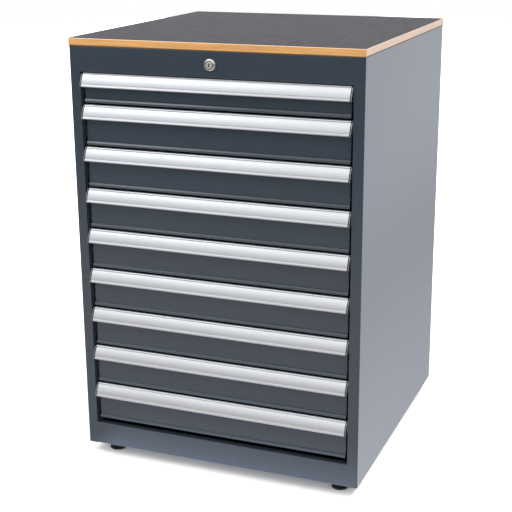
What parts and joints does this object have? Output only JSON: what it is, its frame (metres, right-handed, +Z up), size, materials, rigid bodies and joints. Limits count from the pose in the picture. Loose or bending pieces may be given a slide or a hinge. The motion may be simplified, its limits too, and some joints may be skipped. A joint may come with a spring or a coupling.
{
  "type": "tool cabinet",
  "caption": "Floor-standing drawer cabinet in bent sheet steel with full-width grip handles, full-extension slides, a central lock, a wood worktop and levelling feet.",
  "frame": {"origin": "on the floor, under the middle of the whole outline", "axes": "+Z up, the drawer fronts face -Y, +X to the right seen from the front"},
  "size_m": [0.7116, 0.7308, 1.0468],
  "materials": {
    "carcass_paint": "fine-textured anthracite powder coat",
    "box_paint": "light grey powder coat",
    "grip_aluminium": "satin anodised, fine lengthwise drawing lines",
    "cap_plastic": "fine matt",
    "board_wood": "oiled, light brown",
    "top_facing": "film facing with a pressed anti-slip mesh",
    "foot_plastic": "matt black",
    "zinc_steel": "zinc plated",
    "chrome": "polished",
    "lock_steel": "nickel plated, fine turned"
  },
  "bodies": {
    "cabinet": {"side_panel_left": "carcass_paint", "side_panel_right": "carcass_paint", "base_panel": "carcass_paint", "top_panel": "carcass_paint", "rear_panel": "carcass_paint", "worktop_board": "board_wood", "worktop_facing": "top_facing", "levelling_feet": "foot_plastic", "foot_studs": "zinc_steel", "rail_uprights": "zinc_steel", "cabinet_rails": "zinc_steel", "lock_cylinder": "chrome", "lock_brackets": "zinc_steel"},
    "drawer_1": {"drawer_1_box": "box_paint", "drawer_1_front": "carcass_paint", "drawer_1_handle": "grip_aluminium", "drawer_1_caps": "cap_plastic"},
    "carriage_1": {"drawer_1_carriage": "zinc_steel"},
    "drawer_2": {"drawer_2_box": "box_paint", "drawer_2_front": "carcass_paint", "drawer_2_handle": "grip_aluminium", "drawer_2_caps": "cap_plastic"},
    "carriage_2": {"drawer_2_carriage": "zinc_steel"},
    "drawer_3": {"drawer_3_box": "box_paint", "drawer_3_front": "carcass_paint", "drawer_3_handle": "grip_aluminium", "drawer_3_caps": "cap_plastic"},
    "carriage_3": {"drawer_3_carriage": "zinc_steel"},
    "drawer_4": {"drawer_4_box": "box_paint", "drawer_4_front": "carcass_paint", "drawer_4_handle": "grip_aluminium", "drawer_4_caps": "cap_plastic"},
    "carriage_4": {"drawer_4_carriage": "zinc_steel"},
    "drawer_5": {"drawer_5_box": "box_paint", "drawer_5_front": "carcass_paint", "drawer_5_handle": "grip_aluminium", "drawer_5_caps": "cap_plastic"},
    "carriage_5": {"drawer_5_carriage": "zinc_steel"},
    "drawer_6": {"drawer_6_box": "box_paint", "drawer_6_front": "carcass_paint", "drawer_6_handle": "grip_aluminium", "drawer_6_caps": "cap_plastic"},
    "carriage_6": {"drawer_6_carriage": "zinc_steel"},
    "drawer_7": {"drawer_7_box": "box_paint", "drawer_7_front": "carcass_paint", "drawer_7_handle": "grip_aluminium", "drawer_7_caps": "cap_plastic"},
    "carriage_7": {"drawer_7_carriage": "zinc_steel"},
    "drawer_8": {"drawer_8_box": "box_paint", "drawer_8_front": "carcass_paint", "drawer_8_handle": "grip_aluminium", "drawer_8_caps": "cap_plastic"},
    "carriage_8": {"drawer_8_carriage": "zinc_steel"},
    "drawer_9": {"drawer_9_box": "box_paint", "drawer_9_front": "carcass_paint", "drawer_9_handle": "grip_aluminium", "drawer_9_caps": "cap_plastic"},
    "carriage_9": {"drawer_9_carriage": "zinc_steel"},
    "lock_barrel": {"lock_barrel": "lock_steel"},
    "lock_bar": {"lock_bar": "zinc_steel"}
  },
  "joints": [
    {"name": "drawer_1_slide", "type": "slide", "parent": "cabinet", "child": "drawer_1", "axis": [0, -1, 0], "range_m": [0, 0.64]},
    {"name": "carriage_1_slide", "type": "slide", "parent": "cabinet", "child": "carriage_1", "axis": [0, -1, 0], "range_m": [0, 0.32]},
    {"name": "drawer_2_slide", "type": "slide", "parent": "cabinet", "child": "drawer_2", "axis": [0, -1, 0], "range_m": [0, 0.64]},
    {"name": "carriage_2_slide", "type": "slide", "parent": "cabinet", "child": "carriage_2", "axis": [0, -1, 0], "range_m": [0, 0.32]},
    {"name": "drawer_3_slide", "type": "slide", "parent": "cabinet", "child": "drawer_3", "axis": [0, -1, 0], "range_m": [0, 0.64]},
    {"name": "carriage_3_slide", "type": "slide", "parent": "cabinet", "child": "carriage_3", "axis": [0, -1, 0], "range_m": [0, 0.32]},
    {"name": "drawer_4_slide", "type": "slide", "parent": "cabinet", "child": "drawer_4", "axis": [0, -1, 0], "range_m": [0, 0.64]},
    {"name": "carriage_4_slide", "type": "slide", "parent": "cabinet", "child": "carriage_4", "axis": [0, -1, 0], "range_m": [0, 0.32]},
    {"name": "drawer_5_slide", "type": "slide", "parent": "cabinet", "child": "drawer_5", "axis": [0, -1, 0], "range_m": [0, 0.64]},
    {"name": "carriage_5_slide", "type": "slide", "parent": "cabinet", "child": "carriage_5", "axis": [0, -1, 0], "range_m": [0, 0.32]},
    {"name": "drawer_6_slide", "type": "slide", "parent": "cabinet", "child": "drawer_6", "axis": [0, -1, 0], "range_m": [0, 0.64]},
    {"name": "carriage_6_slide", "type": "slide", "parent": "cabinet", "child": "carriage_6", "axis": [0, -1, 0], "range_m": [0, 0.32]},
    {"name": "drawer_7_slide", "type": "slide", "parent": "cabinet", "child": "drawer_7", "axis": [0, -1, 0], "range_m": [0, 0.64]},
    {"name": "carriage_7_slide", "type": "slide", "parent": "cabinet", "child": "carriage_7", "axis": [0, -1, 0], "range_m": [0, 0.32]},
    {"name": "drawer_8_slide", "type": "slide", "parent": "cabinet", "child": "drawer_8", "axis": [0, -1, 0], "range_m": [0, 0.64]},
    {"name": "carriage_8_slide", "type": "slide", "parent": "cabinet", "child": "carriage_8", "axis": [0, -1, 0], "range_m": [0, 0.32]},
    {"name": "drawer_9_slide", "type": "slide", "parent": "cabinet", "child": "drawer_9", "axis": [0, -1, 0], "range_m": [0, 0.64]},
    {"name": "carriage_9_slide", "type": "slide", "parent": "cabinet", "child": "carriage_9", "axis": [0, -1, 0], "range_m": [0, 0.32]},
    {"name": "lock_turn", "type": "hinge", "parent": "cabinet", "child": "lock_barrel", "pos_m": [0, -0.3554, 0.99875], "axis": [0, 1, 0], "range_deg": [0, 90]},
    {"name": "lock_bar_lift", "type": "slide", "parent": "cabinet", "child": "lock_bar", "axis": [0, 0, 1], "range_m": [0, 0.01414]}
  ],
  "couplings": [
    {"joint": "carriage_1_slide", "follows": "drawer_1_slide", "ratio": 0.5},
    {"joint": "carriage_2_slide", "follows": "drawer_2_slide", "ratio": 0.5},
    {"joint": "carriage_3_slide", "follows": "drawer_3_slide", "ratio": 0.5},
    {"joint": "carriage_4_slide", "follows": "drawer_4_slide", "ratio": 0.5},
    {"joint": "carriage_5_slide", "follows": "drawer_5_slide", "ratio": 0.5},
    {"joint": "carriage_6_slide", "follows": "drawer_6_slide", "ratio": 0.5},
    {"joint": "carriage_7_slide", "follows": "drawer_7_slide", "ratio": 0.5},
    {"joint": "carriage_8_slide", "follows": "drawer_8_slide", "ratio": 0.5},
    {"joint": "carriage_9_slide", "follows": "drawer_9_slide", "ratio": 0.5},
    {"joint": "lock_turn", "follows": "lock_bar_lift", "rad_per_m": 111.07}
  ]
}
